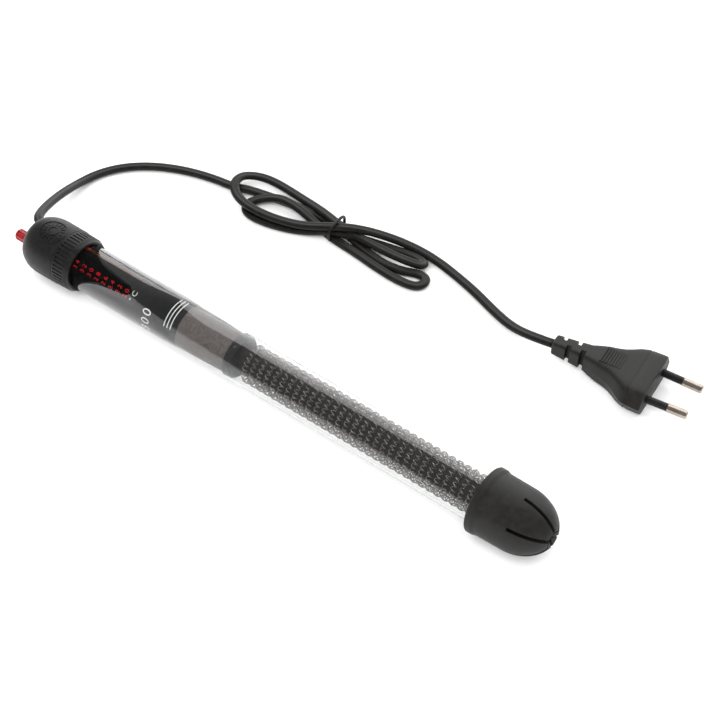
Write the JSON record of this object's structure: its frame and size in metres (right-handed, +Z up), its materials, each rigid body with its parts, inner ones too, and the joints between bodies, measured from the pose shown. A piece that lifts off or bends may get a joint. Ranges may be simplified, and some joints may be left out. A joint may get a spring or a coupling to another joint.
{
  "type": "submersible aquarium heater",
  "caption": "Glass-tube submersible aquarium heater with a dial head, wound element, slotted end guard and a tied mains cord with a flat plug.",
  "frame": {"origin": "middle of the heater, cord left out, on the surface it lies on", "axes": "+X along the tube from the dial head to the end guard, +Z up"},
  "size_m": [0.3178, 0.136, 0.0296],
  "materials": {
    "black_plastic": "fine moulded satin",
    "black_rubber": "soft matte",
    "red_plastic": "moulded translucent red",
    "clear_glass": "clear borosilicate",
    "printed_sleeve": "printed black film",
    "ceramic": "fired grey-brown ceramic",
    "resistance_wire": "oxidised alloy",
    "steel": "plated",
    "brass": "bright",
    "pin_metal": "nickel plated",
    "pvc": "flexible cable sheath",
    "wire_blue": "insulated wire",
    "wire_brown": "insulated wire",
    "lamp_glass": "neon lamp"
  },
  "bodies": {
    "root": {"head_shell": "black_plastic", "clamp_ring": "black_plastic", "collar_gasket": "black_rubber", "cord_grommet": "black_rubber", "tube_stopper": "black_rubber", "knob_seal": "black_rubber", "glass_tube": "clear_glass", "scale_sleeve": "printed_sleeve", "thermostat_frame": "steel", "strip_post": "brass", "fixed_contact": "brass", "contact_magnet": "steel", "calibration_screw": "brass", "capacitor": "wire_brown", "indicator_lamp": "lamp_glass", "lamp_resistor": "ceramic", "thermal_fuse": "steel", "live_wire": "wire_brown", "neutral_wire": "wire_blue", "insulator_block": "ceramic", "centring_ring": "black_plastic", "terminal_rivets": "steel", "ceramic_core": "ceramic", "heating_coil": "resistance_wire", "return_wire": "resistance_wire", "end_spacer": "ceramic", "cord_lead": "pvc", "cord_tail": "pvc", "cord_hank": "pvc", "twist_tie": "pvc", "plug_body": "black_rubber", "plug_pins": "pin_metal", "pin_sleeves": "black_plastic"},
    "knob": {"temperature_knob": "red_plastic", "knob_spindle": "steel", "lead_screw": "brass"},
    "pointer": {"pointer": "red_plastic"},
    "bimetal": {"bimetal_strip": "steel", "moving_contact": "brass"},
    "guard": {"end_guard": "black_rubber"}
  },
  "joints": [
    {"name": "dial_turn", "type": "hinge", "parent": "root", "child": "knob", "pos_m": [-0.142, -0.0021, 0.013], "axis": [1, 0, 0], "range_deg": [0, 1800]},
    {"name": "pointer_travel", "type": "slide", "parent": "root", "child": "pointer", "axis": [1, 0, 0], "range_m": [0, 0.0305]},
    {"name": "contact_break", "type": "hinge", "parent": "root", "child": "bimetal", "pos_m": [-0.1, 0.0046, 0.0138], "axis": [0, -1, 0], "range_deg": [0, 2], "stiffness_Nm_per_rad": 0.02},
    {"name": "guard_pull", "type": "slide", "parent": "root", "child": "guard", "axis": [1, 0, 0], "range_m": [0, 0.045]}
  ],
  "couplings": [
    {"joint": "pointer_travel", "follows": "dial_turn", "m_per_rad": 0.00096925}
  ]
}
